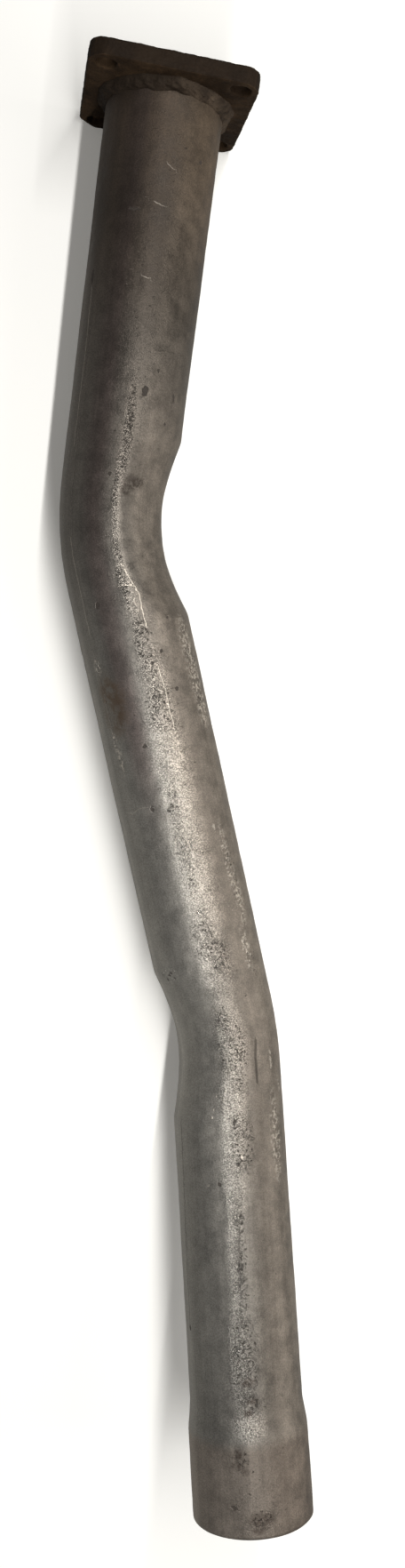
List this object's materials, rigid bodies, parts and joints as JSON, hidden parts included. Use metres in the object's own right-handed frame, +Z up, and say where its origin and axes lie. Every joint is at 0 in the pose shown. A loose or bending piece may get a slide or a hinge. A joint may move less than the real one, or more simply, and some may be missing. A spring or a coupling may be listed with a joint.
{
  "type": "exhaust crossover pipe",
  "caption": "Bent steel exhaust tube with a welded square flange at one end and a slip-over socket at the other; carries exhaust gas from one outlet across to the next pipe.",
  "frame": {"origin": "Middle of the flange's mating face, where the axis of the bolt pattern and of the tube's first run leaves it.", "axes": "+Y is the way the flange faces, dipped 3.25 degrees from the flange's own axis so that the part rests level. The tube runs to -Y. +X is the side the first bend turns to. +Z is up as the part rests."},
  "size_m": [0.2164, 0.7793, 0.1211],
  "materials": {
    "aged_tube_steel": "heat-darkened, scuffed, patchy dull brown-grey",
    "rusted_flange_steel": "dark rusted scale",
    "weld_metal": "rough grey weld with soot"
  },
  "bodies": {
    "root": {"crossover_tube": "aged_tube_steel", "mounting_flange": "rusted_flange_steel", "weld_bead": "weld_metal"}
  },
  "joints": []
}
